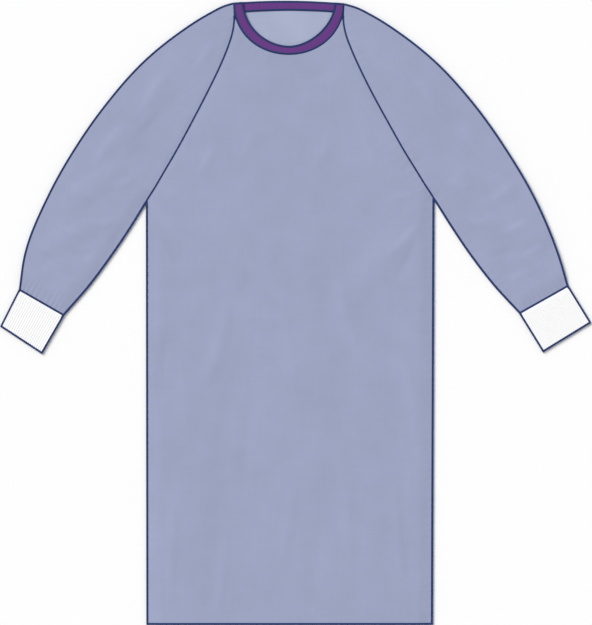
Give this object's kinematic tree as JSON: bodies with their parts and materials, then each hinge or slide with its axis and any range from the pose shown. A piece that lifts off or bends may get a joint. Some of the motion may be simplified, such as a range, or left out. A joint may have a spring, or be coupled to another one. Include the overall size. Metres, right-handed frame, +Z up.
{
  "type": "surgical gown",
  "caption": "Long-sleeved raglan surgical gown laid flat, with a bound round neck, rib-knit cuffs and overlapping back laps.",
  "frame": {"origin": "centre of the whole outline's plan box, on the surface the gown lies on", "axes": "+Z up from the surface to the gown's front, +Y from the hem to the neck, +X to the right as seen from above"},
  "size_m": [1.1806, 1.248, 0.0066],
  "materials": {
    "gown_cloth": "matt, fine plain weave, grey blue",
    "gown_cloth_inside": "matt, fine plain weave, the cloth's lighter inner face",
    "neck_binding": "soft purple tape",
    "rib_knit": "white rib knit",
    "seam_thread": "dark blue sewing thread along the edges and seams"
  },
  "bodies": {
    "root": {"front_panel": "gown_cloth", "back_panel_outer": "gown_cloth", "back_panel_inner": "gown_cloth_inside", "sleeve_left": "gown_cloth", "sleeve_right": "gown_cloth", "cuff_left": "rib_knit", "cuff_right": "rib_knit", "neck_binding_front": "neck_binding", "neck_binding_outer": "neck_binding", "neck_binding_inner": "neck_binding"}
  },
  "joints": []
}
